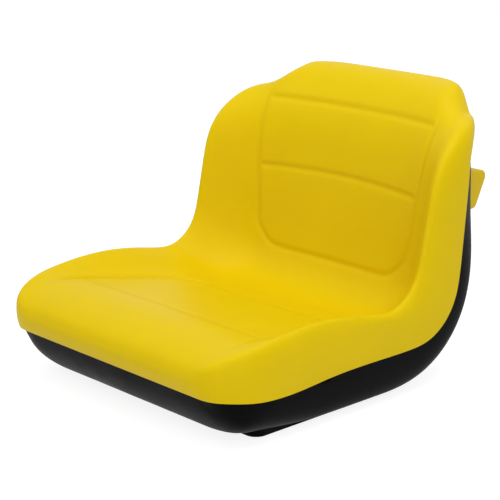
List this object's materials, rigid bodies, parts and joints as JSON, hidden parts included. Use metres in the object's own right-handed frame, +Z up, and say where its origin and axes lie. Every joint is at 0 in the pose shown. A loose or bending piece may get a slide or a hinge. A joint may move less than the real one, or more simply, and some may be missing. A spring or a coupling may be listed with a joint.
{
  "type": "ride on mower seat",
  "caption": "Padded bucket seat for a ride-on mower: moulded vinyl cushion with bolsters and panel lines on a plastic pan, with a lift handle behind and threaded mounting points below.",
  "frame": {"origin": "centre of the four mounting holes, on the plane of the mounting pads", "axes": "the sitter faces -Y, +X is at the sitter's left, +Z is up"},
  "size_m": [0.48, 0.5718, 0.406],
  "materials": {
    "vinyl": "satin grained yellow vinyl over foam",
    "pan_plastic": "fine textured black",
    "handle_plastic": "satin yellow",
    "screw_steel": "zinc plated",
    "insert_steel": "zinc plated"
  },
  "bodies": {
    "root": {"seat_cushion": "vinyl", "seat_pan": "pan_plastic", "lift_handle": "handle_plastic", "handle_screws": "screw_steel", "mount_inserts": "insert_steel"}
  },
  "joints": []
}
